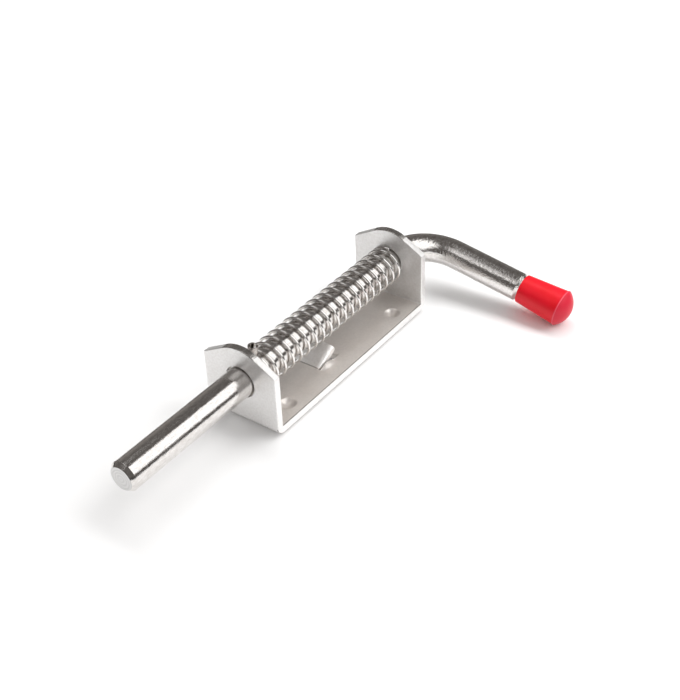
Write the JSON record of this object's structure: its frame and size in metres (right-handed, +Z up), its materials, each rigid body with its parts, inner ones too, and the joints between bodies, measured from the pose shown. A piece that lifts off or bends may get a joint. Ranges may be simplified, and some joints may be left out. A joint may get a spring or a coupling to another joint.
{
  "type": "spring loaded gate latch",
  "caption": "Weld-on spring bolt for a gate: a folded steel bracket guides a sprung round bolt with a bent, capped handle and a cross pin that can be parked behind a raised tab.",
  "frame": {"origin": "under the middle of the base plate, in the plane of the weld nibs' tips", "axes": "+X along the bolt to its tip, +Y to the handle's side, +Z up from the base plate"},
  "size_m": [0.1907, 0.089, 0.0343],
  "materials": {
    "bracket": "satin",
    "bolt": "polished",
    "pin": "satin",
    "spring": "polished",
    "cap": "gloss"
  },
  "bodies": {
    "bracket": {"bracket": "bracket"},
    "spring": {"return_spring": "spring"},
    "bolt": {"bolt_rod": "bolt", "cross_pin": "pin", "end_cap": "cap"}
  },
  "joints": [
    {"name": "bolt_turn", "type": "hinge", "parent": "bracket", "child": "spring", "pos_m": [0, 0, 0.0195], "axis": [1, 0, 0], "range_deg": [0, 190]},
    {"name": "bolt_pull", "type": "slide", "parent": "spring", "child": "bolt", "axis": [-1, 0, 0], "range_m": [0, 0.048], "stiffness_N_per_m": 500, "springref_m": -0.03, "deforming": ["return_spring"]}
  ]
}
